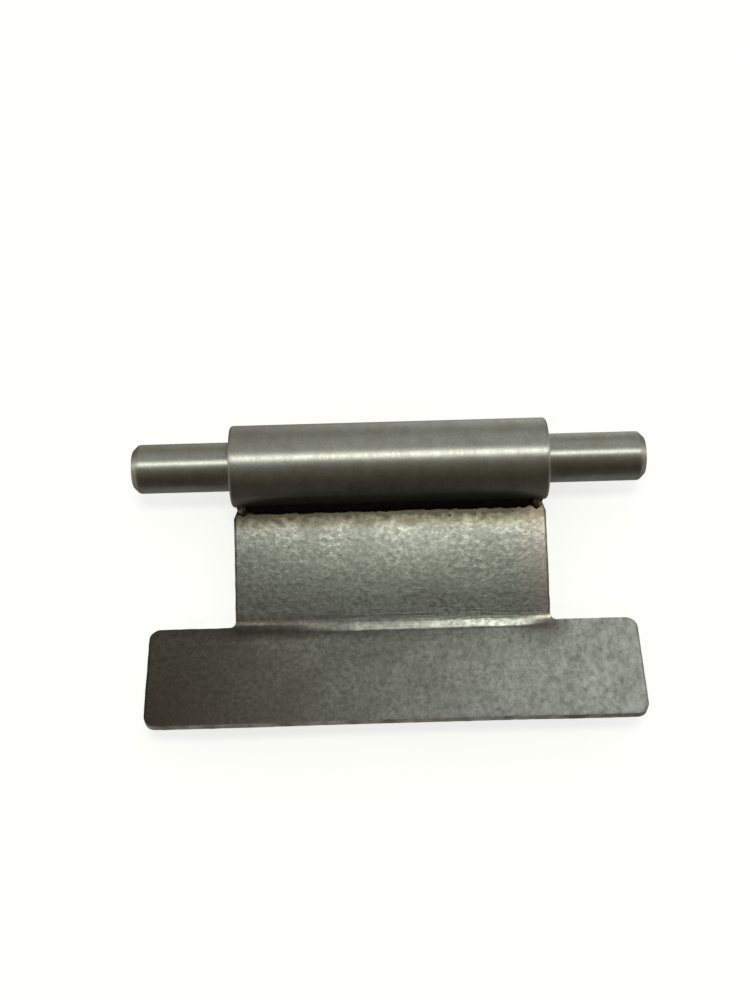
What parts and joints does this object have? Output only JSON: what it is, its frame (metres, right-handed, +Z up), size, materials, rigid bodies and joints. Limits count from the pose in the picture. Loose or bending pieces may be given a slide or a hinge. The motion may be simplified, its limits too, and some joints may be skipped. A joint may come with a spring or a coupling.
{
  "type": "pivot hinge",
  "caption": "Stainless pivot hinge: a barrel tube turns on a through pin with free ends and carries a welded, bent T-shaped leaf for a door or flap.",
  "frame": {"origin": "on the pivot axis, halfway along the barrel", "axes": "+X along the pivot axis to the right-hand pin end, +Z up from the bench the hinge lies on, the leaf towards -Y"},
  "size_m": [0.0624, 0.0366, 0.01],
  "materials": {
    "pin_steel": "fine turned, satin",
    "barrel_steel": "fine turned, satin",
    "leaf_steel": "tumbled mill finish, mottled",
    "weld_metal": "as welded, slightly heat tinted"
  },
  "bodies": {
    "pin": {"hinge_pin": "pin_steel"},
    "leaf": {"barrel_tube": "barrel_steel", "leaf_plate": "leaf_steel", "front_weld_bead": "weld_metal", "rear_weld_bead": "weld_metal", "left_tack_weld": "weld_metal", "right_tack_weld": "weld_metal"}
  },
  "joints": [
    {"name": "leaf_swing", "type": "hinge", "parent": "pin", "child": "leaf", "pos_m": [0, 0, 0], "axis": [-1, 0, 0], "continuous": true}
  ]
}
